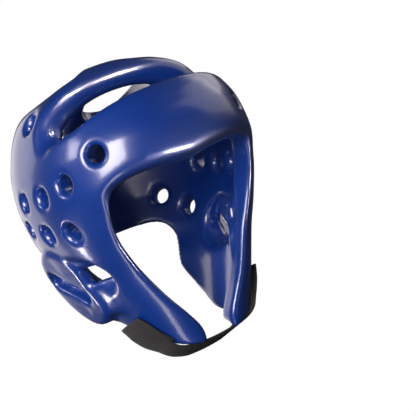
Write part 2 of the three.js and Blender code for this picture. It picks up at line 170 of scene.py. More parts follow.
# Front edge of the strap from its free end: across, back, height, toe, dip, front hug, rear hug.
# The strap runs back from it: toe is its turn to the middle and dip its fall for each millimetre
# back, and a hug of 1 holds that edge clear of the foam.
STRAP = [
    (-0.62, -0.29, -0.67, 0, 0.25, 1, 1),
    (-0.57, -0.32, -0.72, 0, 0.27, 1, 1),
    (-0.5, -0.34, -0.79, 0, 0.28, 1, 0.55),
    (-0.41, -0.355, -0.86, 0.02, 0.29, 1, 0),
    (-0.3, -0.355, -0.915, 0.02, 0.3, 0.35, 0),
    (-0.15, -0.345, -0.94, 0, 0.32, 0, 0),
    (0, -0.34, -0.945, 0, 0.32, 0, 0),
    (0.15, -0.345, -0.94, 0, 0.32, 0, 0),
    (0.3, -0.355, -0.915, 0, 0.3, 0.35, 0),
    (0.42, -0.36, -0.86, 0, 0.28, 1, 0),
    (0.52, -0.34, -0.78, 0, 0.2, 1, 0.7),
    (0.58, -0.32, -0.72, 0, 0.15, 1, 1),
    (0.62, -0.3, -0.67, 0, 0.12, 1, 1),
]
# The patch lies under the first stations of the strap
PATCH_STATIONS = 4
# How far the front edges lie ahead of the stations, in millimetres. The strap's edge is on them
# in the CAD, and here it is drawn forward to meet the tips of the cheek bars.
PATCH_AHEAD = 6
STRAP_AHEAD = 5

# Radii of the foam's rounded edges, as shares of the edge radius in the settings
FACE_ROUND = 0.6
FACE_ROUND_AT_BROW = 1.2
SLOT_ROUND = 0.4
SLOT_ROUND_AT_CROWN = 1.1
HOLLOW_ROUND = 0.2
LOWER_ROUND = 0.35
WINDOW_ROUND = 0.7
# Heights on the brow and places behind it, in millimetres, between which wider rounding sets in
BROW_RANGE = (-10, 12)
CROWN_RANGE = (-62, -46)
# Radii on the ear pads in millimetres
PAD_ROUND = 4.5
ARM_ROUND = 3.0
PAD_SEAT_ROUND = 3.5


def smooth_through(xs, ys):
    """A curve through the points that never overshoots them."""
    xs, ys = np.asarray(xs, float), np.asarray(ys, float)
    steps = np.diff(ys) / np.diff(xs)
    slopes = np.empty_like(ys)
    slopes[0], slopes[-1] = steps[0], steps[-1]
    product = steps[:-1] * steps[1:]
    total = steps[:-1] + steps[1:]
    slopes[1:-1] = np.where(product > 0, 2 * product / np.where(product > 0, total, 1), 0)

    def value(x):
        x = np.clip(x, xs[0], xs[-1])
        i = np.clip(np.searchsorted(xs, x, side="right") - 1, 0, len(xs) - 2)
        span = xs[i + 1] - xs[i]
        t = (x - xs[i]) / span
        rise = t * t * (3 - 2 * t)
        bend = span * t * (1 - t) * (slopes[i] * (1 - t) - slopes[i + 1] * t)
        return ys[i] * (1 - rise) + ys[i + 1] * rise + bend

    return value


def height_of(share):
    """Height in millimetres of a share, which counts from the brow up and down."""
    share = np.asarray(share, float)
    return share * np.where(share > 0, CROWN_HEIGHT, JAW_DROP)


def depth_of(share):
    """Place along the head of a share, which counts from the middle to the brow or the nape."""
    share = np.asarray(share, float)
    return share * np.where(share < 0, BROW_REACH, NAPE_REACH)


HEIGHTS = height_of(SECTIONS[:, 0])
WIDTH_SQUARED = smooth_through(HEIGHTS, (SECTIONS[:, 1] * HALF_WIDTH) ** 2)
FRONT_SQUARED = smooth_through(HEIGHTS, (SECTIONS[:, 2] * BROW_REACH) ** 2)
BACK_SQUARED = smooth_through(HEIGHTS, (SECTIONS[:, 3] * NAPE_REACH) ** 2)
BOXINESS = smooth_through(HEIGHTS, SECTIONS[:, 4])


def outside(height, angle):
    """Points of the outside of the foam: 0 is the left ear, minus a right angle the brow."""
    height, angle = np.broadcast_arrays(np.asarray(height, float), np.asarray(angle, float))
    cos, sin = np.cos(angle), np.sin(angle)
    power = np.where(sin < 0, BOXINESS(height), 2.0)
    reach = np.sqrt(np.where(sin < 0, FRONT_SQUARED(height), BACK_SQUARED(height)))
    scale = (np.abs(cos) ** power + np.abs(sin) ** power) ** (-1 / power)
    width = np.sqrt(WIDTH_SQUARED(height))
    return np.stack([width * cos * scale, reach * sin * scale, height], axis=-1)


def unit(vectors):
    """The vectors at length one."""
    return vectors / np.linalg.norm(vectors, axis=-1, keepdims=True)


def outward(height, angle):
    """Outward direction of the foam's surface."""
    turn, rise = 0.01, 0.4
    around = outside(height, angle + turn) - outside(height, angle - turn)
    top = np.minimum(height + rise, CROWN_HEIGHT)
    up = outside(top, angle) - outside(top - 2 * rise, angle)
    return unit(np.cross(around, up))


def smoothstep(x, low, high):
    t = np.clip((x - low) / (high - low), 0, 1)
    return t * t * (3 - 2 * t)


def foam_at(height, angle):
    """Thickness of the foam, which grows towards the crown and the corner of the jaw."""
    crown = smoothstep(height, 0, CROWN_HEIGHT)
    jaw = smoothstep(-height, 0.4 * JAW_DROP, 0.65 * JAW_DROP)
    jaw = jaw * smoothstep(np.sin(angle), -0.75, -0.1)
    return SIDE_FOAM + (CROWN_FOAM - SIDE_FOAM) * crown + (JAW_FOAM - SIDE_FOAM) * jaw


def rounded_power(value, power):
    """A power that keeps the sign, for outlines between an ellipse and a box."""
    return np.sign(value) * np.abs(value) ** power


def curve_through(points, steps, closed=True):
    """Smooth curve through a few points, evenly sampled between each two of them."""
    points = np.asarray(points, float)
    if closed:
        points = np.concatenate([points[-1:], points, points[:2]])
    else:
        before = 2 * points[:1] - points[1:2]
        after = 2 * points[-1:] - points[-2:-1]
        points = np.concatenate([before, points, after])
    samples = []
    for p0, p1, p2, p3 in zip(points, points[1:], points[2:], points[3:]):
        t0 = 0.0
        t1 = t0 + np.linalg.norm(p1 - p0) ** 0.5
        t2 = t1 + np.linalg.norm(p2 - p1) ** 0.5
        t3 = t2 + np.linalg.norm(p3 - p2) ** 0.5
        t = np.linspace(t1, t2, steps, endpoint=False)[:, None]
        a1 = (t1 - t) / (t1 - t0) * p0 + (t - t0) / (t1 - t0) * p1
        a2 = (t2 - t) / (t2 - t1) * p1 + (t - t1) / (t2 - t1) * p2
        a3 = (t3 - t) / (t3 - t2) * p2 + (t - t2) / (t3 - t2) * p3
        b1 = (t2 - t) / (t2 - t0) * a1 + (t - t0) / (t2 - t0) * a2
        b2 = (t3 - t) / (t3 - t1) * a2 + (t - t1) / (t3 - t1) * a3
        samples.append((t2 - t) / (t2 - t1) * b1 + (t - t1) / (t2 - t1) * b2)
    if not closed:
        samples.append(points[-2:-1])
    return np.concatenate(samples)


def face_inward(points, faces):
    """True when the triangles of a closed mesh face its inside."""
    a, b, c = (points[faces[:, k]] for k in range(3))
    return np.einsum("ij,ij->i", a, np.cross(b, c)).sum() < 0


def loft(rings, first_tip=None):
    """Closed triangle mesh through rings of points."""
    rings = np.asarray(rings, float)
    rows, count = rings.shape[:2]
    first = rings[0].mean(axis=0) if first_tip is None else np.asarray(first_tip, float)
    points = np.concatenate([first[None], rings.reshape(-1, 3), rings[-1].mean(axis=0)[None]])
    i = np.arange(count)
    j = (i + 1) % count
    last = len(points) - 1
    faces = [np.stack([np.zeros_like(i), 1 + j, 1 + i], 1)]
    for row in range(rows - 1):
        a, b = 1 + row * count + i, 1 + row * count + j
        faces += [np.stack([a, b, b + count], 1), np.stack([a, b + count, a + count], 1)]
    faces.append(np.stack([np.full_like(i, last), last - count + i, last - count + j], 1))
    faces = np.concatenate(faces)
    if face_inward(points, faces):
        faces = faces[:, ::-1]
    return points, faces


# The grid that the foam's distances are kept on, in millimetres. Distances are negative inside.
CELL = 1.95
BAND_CELLS = 7
BAND = CELL * BAND_CELLS
GRID_LOW = np.array([-118, -142, -168])
GRID_HIGH = np.array([118, 124, 126])
ORIGIN = np.floor(GRID_LOW / CELL).astype(int)
SHAPE = tuple(np.ceil(GRID_HIGH / CELL).astype(int) - ORIGIN + 1)
# The surface is drawn onto the distance zero in a few rounds, each a share of what is left
DRAW_ROUNDS = 3
DRAW_SHARE = 0.8


def distance_to(mesh):
    """Distance of each grid point to a closed mesh, true within the band."""
    points, faces = mesh
    grid = openvdb.FloatGrid.createLevelSetFromPolygons(
        points.astype(np.float32),
        triangles=faces.astype(np.uint32),
        transform=openvdb.createLinearTransform(voxelSize=CELL),
        halfWidth=BAND_CELLS,
    )
    field = np.zeros(SHAPE, np.float32)
    grid.copyToArray(field, ijk=tuple(int(n) for n in ORIGIN))
    return field


def overlap_round(a, b, radius):
    """What lies in both forms, with the edge between them rounded."""
    u, v = np.maximum(a + radius, 0), np.maximum(b + radius, 0)
    return np.minimum(-radius, np.maximum(a, b)) + np.sqrt(u * u + v * v)


def cut(body, tool, radius):
    """The body without the tool, with the edge between them rounded."""
    return overlap_round(body, -tool, radius)


def join(a, b, radius):
    """Both forms, with the corner between them filled in."""
    return -overlap_round(-a, -b, radius)


def grid_points(low=(0, 0, 0), high=SHAPE):
    """Places in millimetres of the grid's points from low up to high."""
    axes = [(np.arange(l, h) + o) * CELL for l, h, o in zip(low, high, ORIGIN)]
    return np.stack(np.meshgrid(*axes, indexing="ij"), axis=-1)


def no_depth(height, angle):
    """The depth of the outside itself, for the dome function."""
    return np.zeros(np.broadcast(height, angle).shape)


def dome(depth_at, bottom):
    """The whole dome without its openings, moved inward by a function of height and angle."""
    rows, around = 110, 200
    crowding_at_the_top = 1.6
    share = (np.arange(1, rows + 1) / rows) ** crowding_at_the_top
    height = (CROWN_HEIGHT + (bottom - CROWN_HEIGHT) * share)[:, None]
    angle = np.linspace(0, 2 * math.pi, around, endpoint=False)[None, :]
    height, angle = np.broadcast_arrays(height, angle)
    moved = outside(height, angle) - outward(height, angle) * depth_at(height, angle)[..., None]
    tip = (0, 0, CROWN_HEIGHT - float(depth_at(np.float64(CROWN_HEIGHT), np.float64(0))))
    return loft(moved, first_tip=tip)


def face_tool():
    """What is cut away for the face."""
    half = np.array([(a * HALF_WIDTH, height_of(h)) for a, h in FACE_EDGE])
    half = curve_through(half, 6, closed=False)
    outline = np.concatenate([half, half[:0:-1] * (-1, 1)])
    rings = [
        [(x * widen, -front * BROW_REACH, z) for x, z in outline] for front, widen in FACE_FLARE
    ]
    return loft(rings)


def lower_tool():
    """What is cut away below the lower edge, with other heights outside and inside the foam."""
    floor = LOWER_FLOOR * JAW_DROP
    outlines = []
    for column in (1, 2):
        edge = [(depth_of(row[0]), height_of(row[column])) for row in LOWER_EDGE]
        below = [(depth_of(LOWER_EDGE[-1][0]), floor), (depth_of(LOWER_EDGE[0][0]), floor)]
        outlines.append(np.concatenate([curve_through(edge, 6, closed=False), below]))
    outer, inner = outlines
    stops = [(1.3, outer), (JAW_OUTER_ACROSS, outer), (JAW_INNER_ACROSS, inner)]
    stops += [(-across, outline) for across, outline in reversed(stops)]
    return loft([[(across * HALF_WIDTH, y, z) for y, z in outline] for across, outline in stops])


def sideways_tool(outline, start, end):
    """An outline seen from the side, drawn out from start to end across the head."""
    return loft([[(x, y, z) for y, z in outline] for x in (start, end)])


def slot_tool():
    """The slot between the brow band and the crown."""
    outline = curve_through([(depth_of(b), height_of(h)) for b, h in CROWN_SLOT], 8)
    return sideways_tool(outline, -1.2 * HALF_WIDTH, 1.2 * HALF_WIDTH)


def rear_opening_tool(side):
    """One of the two openings behind the crown, cut square to the foam by a cone."""
    tip_back, tip_height = REAR_CONE_TIP
    tip = np.array([0, tip_back * NAPE_REACH, height_of(tip_height)])
    angle = np.linspace(0, 2 * math.pi, 90, endpoint=False)
    power = 2 / REAR_SQUARENESS
    across = side * REAR_MIDDLE[0] + REAR_HALF_SIZE[0] * rounded_power(np.cos(angle), power)
    back = REAR_MIDDLE[1] + REAR_HALF_SIZE[1] * rounded_power(np.sin(angle), power)
    level = np.full_like(angle, height_of(REAR_LEVEL))
    outline = np.stack([across * HALF_WIDTH, back * NAPE_REACH, level], axis=1)
    return loft([tip + (outline - tip) * scale for scale in REAR_CONE_RUN])


def ear_window_tool(side):
    """The window in the cheek behind an ear pad."""
    back, height, half_length, half_height = EAR_WINDOW
    angle = np.linspace(0, 2 * math.pi, 60, endpoint=False)
    y = depth_of(back) + half_length * NAPE_REACH * np.cos(angle)
    z = height_of(height) + half_height * JAW_DROP * np.sin(angle)
    start, end = (side * across * HALF_WIDTH for across in EAR_WINDOW_ACROSS)
    return sideways_tool(np.stack([y, z], 1), start, end)


def vent_cut(body, angle, height, side, radius):
    """Bores one vent into the foam, with a funnel at both ends."""
    height = float(height_of(height))
    back = math.radians(angle)
    angle = back if side > 0 else math.pi - back
    mouth = outside(height, angle)
    axis = outward(height, angle)
    middle = mouth - axis * 0.5 * SIDE_FOAM
    low = np.maximum(np.floor((middle - VENT_BOX) / CELL).astype(int) - ORIGIN, 0)
    high = np.minimum(np.ceil((middle + VENT_BOX) / CELL).astype(int) - ORIGIN, SHAPE)
    away = grid_points(low, high) - mouth
    along = away @ axis
    radial = np.linalg.norm(away - along[..., None] * axis, axis=-1)
    bore = np.maximum(radial - VENT_BORE / 2, np.abs(along + 0.5 * SIDE_FOAM) - VENT_HALF_DEPTH)
    part = tuple(slice(l, h) for l, h in zip(low, high))
    body[part] = cut(body[part], bore.astype(np.float32), radius)


def pad_point(side, back, up, out):
    """A point of the ear pad: back and up as shares of it, out in millimetres from its face."""
    back, up, out = np.broadcast_arrays(np.asarray(back, float), up, out)
    y = depth_of(PAD_MIDDLE[0]) + back * PAD_LENGTH
    z = PAD_MIDDLE[1] * JAW_DROP + up * PAD_HEIGHT
    face = HALF_WIDTH * (PAD_FRONT + (PAD_BACK - PAD_FRONT) * (back + 0.5))
    face = face + PAD_LEAN * up * PAD_HEIGHT
    return np.stack([side * (face + out), y, z], axis=-1)


def pad_plate(side, inset):
    """The plate of the ear pad, smaller all round by the radius that its edges get later."""
    outline = curve_through(PAD_OUTLINE, 8) * (1 - 2 * inset / PAD_LENGTH)
    outs = np.linspace(inset - PAD_THICKNESS, -inset, 3)
    return loft([pad_point(side, outline[:, 0], outline[:, 1], out) for out in outs])


def pad_arm(side, middle, tall):
    """One of the two arms that carry the ear pad from the cheek."""
    angle = np.linspace(0, 2 * math.pi, 40, endpoint=False)
    rings = []
    for reach, sink, grow in ARM_RINGS:
        up = middle + 0.5 * grow * tall * rounded_power(np.sin(angle), ARM_SQUARENESS)
        deep = 0.5 * grow * ARM_DEPTH * rounded_power(np.cos(angle), ARM_SQUARENESS)
        out = np.minimum(deep - sink * PAD_THICKNESS, -1)
        rings.append(pad_point(side, -reach, up, out))
    return loft(rings)


def pad_hole(side):
    """Dumb-bell hole in the ear pad, leaning forward downwards."""
    angle = np.linspace(0, 2 * math.pi, 72, endpoint=False)
    along = 0.5 * HOLE_LENGTH * np.cos(angle)
    waist = HOLE_NECK + (1 - HOLE_NECK) * np.cos(angle) ** 2
    across = 0.5 * HOLE_WIDTH * waist * rounded_power(np.sin(angle), 0.5)
    y = along * math.cos(HOLE_LEAN) - across * math.sin(HOLE_LEAN)
    z = along * math.sin(HOLE_LEAN) + across * math.cos(HOLE_LEAN)
    outs = (-3 * PAD_THICKNESS, PAD_THICKNESS)
    return loft([pad_point(side, y / PAD_LENGTH + HOLE_BACK, z / PAD_HEIGHT, out) for out in outs])


def smoothed(field):
    """The field after a small blur along each axis, which takes out the steps of the grid."""
    for axis in range(3):
        field = (np.roll(field, 1, axis) + 2 * field + np.roll(field, -1, axis)) / 4
    return field


def foam_field(edge, vent_edge):
    """Distances of the whole foam body with its ear pads."""
    body = distance_to(dome(no_depth, -JAW_DROP))
    hollow = distance_to(dome(foam_at, HOLLOW_BOTTOM * JAW_DROP))
    # The lip under the brow rolls in wider than the edges of the cheek bars
    brow = smoothstep(grid_points()[..., 2], *BROW_RANGE)
    radius = edge * (FACE_ROUND + FACE_ROUND_AT_BROW * brow).astype(np.float32)
    body = cut(body, distance_to(face_tool()), radius)
    body = cut(body, hollow, HOLLOW_ROUND * edge)
    body = cut(body, distance_to(lower_tool()), LOWER_ROUND * edge)
    # The brow band ends in a crisp lip at the slot, and the crown in a round roll
    crown = smoothstep(grid_points()[..., 1], *CROWN_RANGE)
    radius = edge * (SLOT_ROUND + SLOT_ROUND_AT_CROWN * crown).astype(np.float32)
    body = cut(body, distance_to(slot_tool()), radius)
    for side in (-1, 1):
        body = cut(body, distance_to(rear_opening_tool(side)), edge)
        body = cut(body, distance_to(ear_window_tool(side)), WINDOW_ROUND * edge)
        for angle, height in VENTS:
            vent_cut(body, angle, height, side, vent_edge)
        pad = distance_to(pad_plate(side, PAD_ROUND)) - PAD_ROUND
        for middle, tall in PAD_ARMS:
            pad = join(pad, distance_to(pad_arm(side, middle, tall)), ARM_ROUND)
        pad = cut(pad, distance_to(pad_hole(side)), PAD_SEAT_ROUND)
        pad = np.maximum(pad, -hollow)
        body = join(body, pad, PAD_SEAT_ROUND)
    return smoothed(body)


def sample(field, points):
    """Values of the field at points in millimetres, with straight lines between grid points."""
    place = points / CELL - ORIGIN
    low = np.clip(np.floor(place).astype(int), 0, np.array(SHAPE) - 2)
    t = place - low
    total = 0
    for corner in np.ndindex(2, 2, 2):
        weight = np.prod(np.where(corner, t, 1 - t), axis=1)
        at = low + corner
        total = total + weight * field[at[:, 0], at[:, 1], at[:, 2]]
    return total


def slope(field, points, step):
    """Outward direction of the field at points."""
    parts = []
    for axis in np.eye(3) * step:
        parts.append(sample(field, points + axis) - sample(field, points - axis))
    return unit(np.stack(parts, axis=1) + 1e-9)


def surface_of(field):
    """Points, faces and directions of the surface where the field is zero."""
    grid = openvdb.FloatGrid(BAND)
    grid.copyFromArray(np.clip(field, -BAND, BAND), ijk=tuple(int(n) for n in ORIGIN))
    grid.transform = openvdb.createLinearTransform(voxelSize=CELL)
    grid.gridClass = openvdb.GridClass.LEVEL_SET
    points, quads = grid.convertToQuads(isovalue=0.0)
    points = points.astype(float)
    for _ in range(DRAW_ROUNDS):
        points -= slope(field, points, CELL) * sample(field, points)[:, None] * DRAW_SHARE
    directions = slope(field, points, 1.2 * CELL)
    a, b, c = (points[quads[:, k]] for k in range(3))
    facing = np.einsum("ij,ij->i", np.cross(b - a, c - a), directions[quads[:, 0]])
    if (facing < 0).mean() > 0.5:
        quads = quads[:, ::-1]
    return points, quads, directions


def denser(rows, steps):
    """The rows on smooth curves through them, at evenly spaced places."""
    rows = np.asarray(rows, float)
    index = np.arange(len(rows))
    at = np.linspace(0, len(rows) - 1, steps + 1)
    return np.stack([smooth_through(index, rows[:, k])(at) for k in range(rows.shape[1])], axis=1)


def clear_of_foam(point, stand_off):
    """The point moved out sideways until it lies stand_off away from the outside of the foam."""
    x, y, z = point
    power = float(BOXINESS(z)) if y < 0 else 2.0
    reach = math.sqrt(float(FRONT_SQUARED(z) if y < 0 else BACK_SQUARED(z)))
    width = math.sqrt(float(WIDTH_SQUARED(z)))
    left = 1 - (abs(y) / reach) ** power
    if left <= 0:
        return point
    surface = width * left ** (1 / power)
    angle = math.atan2(y / reach, surface / width)
    needed = surface + stand_off / outward(np.float64(z), np.float64(angle))[0]
    return np.array([math.copysign(max(abs(x), needed), x), y, z])


def band_lines(rows, ahead, width, stand_off, across_steps):
    """Lines of points across a band, one for each station, bent to the round of the cheek."""
    lines = []
    for across, back, height, toe, dip, front_hug, rear_hug in rows:
        front = np.array([across * HALF_WIDTH, depth_of(back), height_of(height)])
        direction = unit(np.array([-np.sign(across) * toe, 1, -dip]))
        bends = []
        for share in (0, 0.5, 1):
            point = front + direction * (share * width - ahead)
            hug = front_hug + (rear_hug - front_hug) * share
            bends.append(point + (clear_of_foam(point, stand_off) - point) * hug)
        t = np.linspace(0, 1, across_steps + 1)[:, None]
        a, b, c = bends
        lines.append(a * (1 - t) * (1 - 2 * t) + b * 4 * t * (1 - t) + c * t * (2 * t - 1))
    return np.array(lines)


def band_directions(lines):
    """Outward directions of a band at its points."""
    along = np.gradient(lines, axis=0)
    across = np.gradient(lines, axis=1)
    return unit(np.cross(across, along))


# Rounding of a band's long edges, as shares of its thickness, and how thin its two ends are
BAND_EDGE_RUN = 0.6
BAND_EDGE_FALL = 0.85
BAND_END_SCALE = 0.5


def new_object(name, points, faces, directions=None):
    """A smooth mesh object from points in millimetres."""
    mesh = bpy.data.meshes.new(name)
    mesh.from_pydata((points * MM).tolist(), [], [list(map(int, f)) for f in faces])
    mesh.validate()
    mesh.polygons.foreach_set("use_smooth", [True] * len(mesh.polygons))
    if directions is not None and len(mesh.vertices) == len(points):
        mesh.normals_split_custom_set_from_vertices(directions.tolist())
    mesh.update()
    obj = bpy.data.objects.new(name, mesh)
    bpy.context.scene.collection.objects.link(obj)
    return obj


def webbing_object(name, lines, thickness):
    """A band with rounded edges and its woven grain laid out along it, in metres."""
    rows, count = lines.shape[:2]
    normals = band_directions(lines)
    width = np.linalg.norm(np.diff(lines, axis=1), axis=2).sum(axis=1).mean()
    gap = np.minimum(np.arange(count), np.arange(count)[::-1]) * width / (count - 1)
    full = np.clip(gap / (BAND_EDGE_RUN * thickness), 0, 1)
    half = thickness / 2 * np.sqrt(1 - (1 - full) ** 2 * BAND_EDGE_FALL)
    end_scale = np.ones(rows)
    end_scale[[0, -1]] = BAND_END_SCALE
    half = half[None, :, None] * end_scale[:, None, None]
    ring = np.concatenate([lines + normals * half, (lines - normals * half)[:, ::-1]], axis=1)
    size = ring.shape[1]
    faces = []
    for r in range(rows - 1):
        for i in range(size):
            j = (i + 1) % size
            faces.append((r * size + i, r * size + j, (r + 1) * size + j, (r + 1) * size + i))
    faces.append(tuple(range(size))[::-1])
    faces.append(tuple((rows - 1) * size + i for i in range(size)))
    points = ring.reshape(-1, 3)
    obj = new_object(name, points, faces)
    mesh = obj.data
    steps = np.linalg.norm(np.diff(lines[:, count // 2], axis=0), axis=1)
    run = np.concatenate([[0], np.cumsum(steps)])
    side = np.linspace(0, width, count)
    side = np.concatenate([side, side[::-1]])
    layout = mesh.uv_layers.new(name="weave")
    values = np.empty((len(mesh.loops), 2))
    vertex = np.array([loop.vertex_index for loop in mesh.loops])
    values[:, 0] = side[vertex % size] * MM
    values[:, 1] = run[vertex // size] * MM
    layout.data.foreach_set("uv", values.ravel())
    if face_inward(points, np.array([face[:3] for face in faces[:-2]])):
        mesh.flip_normals()
    return obj


# Length in metres after which a wave texture of scale 1 repeats
WAVE_LENGTH = 2 * math.pi / 20


def add_node(tree, kind, settings=None, **inputs):
    """Adds one node. Settings are its own, and inputs are values or sockets by input name."""
    node = tree.nodes.new(kind)
    for name, value in (settings or {}).items():
        setattr(node, name, value)
    for name, value in inputs.items():
        socket = node.inputs[name.replace("_", " ")]
        if isinstance(value, bpy.types.NodeSocket):
            tree.links.new(value, socket)
        else:
            socket.default_value = value
    return node


def new_material(name):
    """A material without nodes, and its node tree."""
    material = bpy.data.materials.new(name)
    material.use_nodes = True
    material.node_tree.nodes.clear()
    return material, material.node_tree


def finish_material(tree, shader):
    """Sends the shader to the material's output."""
    output = add_node(tree, "ShaderNodeOutputMaterial")
    tree.links.new(shader.outputs[0], output.inputs["Surface"])


def dipped_vinyl(colour):
    """Closed-cell foam dipped in liquid vinyl.

    The coat flows smooth and dries to a wet gloss, so lights show as clean patches
    that only waver a little where the coat has run.
    """
    material, tree = new_material("dipped_vinyl_coat")
    place = add_node(tree, "ShaderNodeTexCoord").outputs["Object"]
    # Runs of the coat, 14 mm apart, and its orange peel, 1.2 mm
    runs = add_node(tree, "ShaderNodeTexNoise", Vector=place, Scale=1 / (14 * MM), Detail=1.0)
    peel = add_node(tree, "ShaderNodeTexNoise", Vector=place, Scale=1 / (1.2 * MM), Detail=0.0)
    bump = add_node(
        tree, "ShaderNodeBump", Strength=0.25, Distance=0.6 * MM, Height=runs.outputs["Fac"]
    )
    fine = add_node(
        tree,
        "ShaderNodeBump",
        Strength=0.4,
        Distance=0.12 * MM,
        Height=peel.outputs["Fac"],
        Normal=bump.outputs["Normal"],
    )
    shader = add_node(
        tree,
        "ShaderNodeBsdfPrincipled",
        Base_Color=colour,
        Roughness=0.36,
        IOR=1.5,
        Normal=fine.outputs["Normal"],
        Coat_Weight=1.0,
        Coat_Roughness=0.15,
        Coat_IOR=1.5,
        Coat_Normal=fine.outputs["Normal"],
    )
    finish_material(tree, shader)
    return material


def nylon_webbing(colour):
    """Woven nylon webbing.

    Flat matt bands with a fine rib across them that catches the light in short lines.
    """
    material, tree = new_material("woven_nylon_webbing")
    place = add_node(tree, "ShaderNodeUVMap", {"uv_map": "weave"}).outputs["UV"]
    # Ribs 1.5 mm apart along the band and warp threads 1.0 mm apart across it
    ribs = add_node(
        tree,
        "ShaderNodeTexWave",
        {"bands_direction": "Y", "wave_profile": "SIN"},
        Vector=place,
        Scale=WAVE_LENGTH / (1.5 * MM),
    )
    warp = add_node(
        tree,
        "ShaderNodeTexWave",
        {"bands_direction": "X", "wave_profile": "SIN"},
        Vector=place,
        Scale=WAVE_LENGTH / (1.0 * MM),
    )
    weave = add_node(tree, "ShaderNodeMath", {"operation": "MULTIPLY"})
    tree.links.new(ribs.outputs["Fac"], weave.inputs[0])
    tree.links.new(warp.outputs["Fac"], weave.inputs[1])
    bump = add_node(
        tree, "ShaderNodeBump", Strength=0.6, Distance=0.4 * MM, Height=weave.outputs[0]
    )
    shader = add_node(
        tree,
        "ShaderNodeBsdfPrincipled",
        Base_Color=colour,
        Roughness=0.75,
        Normal=bump.outputs["Normal"],
        Sheen_Weight=0.06,
        Sheen_Roughness=0.5,
    )
    finish_material(tree, shader)
    return material


def hook_tape(colour):
    """Hook half of a touch fastener, moulded nylon.

    Rows of tiny hooks scatter the light, so it looks like dark, dull stubble.
    """
    material, tree = new_material("moulded_hook_tape")
    place = add_node(tree, "ShaderNodeTexCoord").outputs["Object"]
    # Hooks 1.3 mm apart
    hooks = add_node(
        tree, "ShaderNodeTexVoronoi", Vector=place, Scale=1 / (1.3 * MM), Randomness=0.35
    )
    bump = add_node(
        tree,
        "ShaderNodeBump",
        {"invert": True},
        Strength=0.8,
        Distance=0.5 * MM,
        Height=hooks.outputs["Distance"],
    )
    shader = add_node(
        tree,
        "ShaderNodeBsdfPrincipled",
        Base_Color=colour,
        Roughness=0.85,
        Normal=bump.outputs["Normal"],
    )
    finish_material(tree, shader)
    return material


def lit_surround(colour):
    """White studio paper lit from behind, an even white without a shadow or an edge."""
    material, tree = new_material("backlit_white_paper")
    shader = add_node(tree, "ShaderNodeEmission", Color=colour, Strength=1.0)
    finish_material(tree, shader)
    return material


class HeadGuardSettings(bpy.types.PropertyGroup):
    foam_edge: FloatProperty(
        name="Foam edge radius",
        description="Radius of the rounded edges of the foam shell",
        default=7.5 * MM,
        unit="LENGTH",
    )
    vent_edge: FloatProperty(
        name="Vent edge radius",
        description="Radius of the funnel round each vent hole",
        default=5.5 * MM,
        unit="LENGTH",
    )
    strap_thickness: FloatProperty(
        name="Strap thickness",
        description="Thickness of the webbing",
        default=2.4 * MM,
        unit="LENGTH",
    )
    vinyl_colour: FloatVectorProperty(
        name="Vinyl",
        description="Colour of the dipped coat",
        default=linear("#082f7a"),
        size=4,
        subtype="COLOR",
    )
    webbing_colour: FloatVectorProperty(
        name="Webbing",
        description="Colour of the chin strap",
        default=linear("#171714"),
        size=4,
        subtype="COLOR",
    )
    hook_colour: FloatVectorProperty(
        name="Hook tape",
        description="Colour of the hook tape",
        default=linear("#1b1714"),
        size=4,
        subtype="COLOR",
    )
    paper_colour: FloatVectorProperty(
        name="Paper",
        description="Colour of the background paper",
        default=linear("#ffffff"),
        size=4,
        subtype="COLOR",
    )


class HEADGUARD_OT_foam(bpy.types.Operator):
    """Builds the dipped foam shell with its two ear pads under one coat"""

    bl_idname = "headguard.foam"
    bl_label = "Dipped foam"

    def execute(self, context):
        settings = context.scene.head_guard
        field = foam_field(settings.foam_edge / MM, settings.vent_edge / MM)
        skin = new_object("dipped_foam", *surface_of(field))
        skin.data.materials.append(dipped_vinyl(settings.vinyl_colour))
        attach(skin, "root")
        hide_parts("shell", "ear_pad_right", "ear_pad_left")
        return {"FINISHED"}


class HEADGUARD_OT_strap(bpy.types.Operator):
    """Builds the woven chin strap"""

    bl_idname = "headguard.strap"
    bl_label = "Chin strap"

    def execute(self, context):
        settings = context.scene.head_guard
        stand_off = 3 * CLEARANCE + PATCH_THICKNESS + STRAP_THICKNESS / 2
        lines = band_lines(denser(STRAP, 120), STRAP_AHEAD, STRAP_WIDTH, stand_off, 16)
        strap = webbing_object("chin_strap_webbing", lines, settings.strap_thickness / MM)
        strap.data.materials.append(nylon_webbing(settings.webbing_colour))
        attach(strap, "root")
        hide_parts("chin_strap")
        return {"FINISHED"}


class HEADGUARD_OT_hook_patch(bpy.types.Operator):
    """Builds the patch of hook tape that the strap closes on"""

    bl_idname = "headguard.hook_patch"
    bl_label = "Hook patch"

    def execute(self, context):
        settings = context.scene.head_guard
        stand_off = CLEARANCE + PATCH_THICKNESS / 2
        rows = denser(STRAP[:PATCH_STATIONS], 40)
        lines = band_lines(rows, PATCH_AHEAD, PATCH_WIDTH, stand_off, 8)
        patch = webbing_object("hook_tape_patch", lines, PATCH_THICKNESS)
        patch.data.materials.append(hook_tape(settings.hook_colour))
        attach(patch, "root")
        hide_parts("hook_patch")
        return {"FINISHED"}


# Camera of the photograph: direction and roll in degrees, distance and aim in metres, lens in
# millimetres and shift in widths of the image
VIEW_AZIMUTH = -27
VIEW_ELEVATION = 2
VIEW_ROLL = 21.5
VIEW_DISTANCE = 1.1
VIEW_AIM = Vector((0, -0.010, -0.005))
VIEW_LENS = 106.6
VIEW_SHIFT = (0.1625, -0.041)

MIDDLE = (0, 0, 0)
FULL_SPREAD = 180

# Softboxes that light the guard: name, azimuth and elevation in degrees, distance, width and
# height in metres, watts
SOFTBOXES = [
    ("key_softbox", -49, 11, 1.2, 0.75, 0.6, 22),
    ("left_wall", -168, 4, 1.6, 1.2, 1.6, 7),
    ("rim_softbox", 100, 34, 1.4, 0.8, 0.7, 2.5),
]
